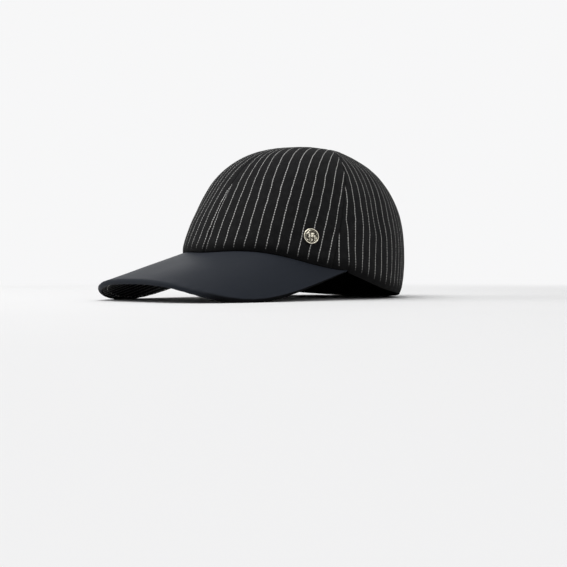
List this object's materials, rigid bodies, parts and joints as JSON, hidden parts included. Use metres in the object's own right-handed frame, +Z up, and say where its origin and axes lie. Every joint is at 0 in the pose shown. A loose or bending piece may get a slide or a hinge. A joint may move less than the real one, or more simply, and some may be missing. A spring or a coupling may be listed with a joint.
{
  "type": "dad cap",
  "caption": "Soft panelled cap in dark pinstripe cloth with a plain arched visor and a round metal stud on one side; worn on the head.",
  "frame": {"origin": "bottom centre of the box that holds the whole cap, on the floor that it rests on", "axes": "+Z up; the face and the visor look along -Y; +X is the wearer's left, the side with the stud"},
  "size_m": [0.1574, 0.2716, 0.1205],
  "materials": {
    "pinstripe_cloth": "black wool cloth with thin broken off-white pinstripes",
    "visor_cloth": "smooth slate blue cloth with a soft satin sheen",
    "stud_metal": "pale polished brass, slightly aged in its grooves"
  },
  "bodies": {
    "root": {"front_left_panel": "pinstripe_cloth", "front_right_panel": "pinstripe_cloth", "back_left_panel": "pinstripe_cloth", "back_right_panel": "pinstripe_cloth", "visor_top": "visor_cloth", "visor_underside": "pinstripe_cloth", "side_stud": "stud_metal"}
  },
  "joints": []
}
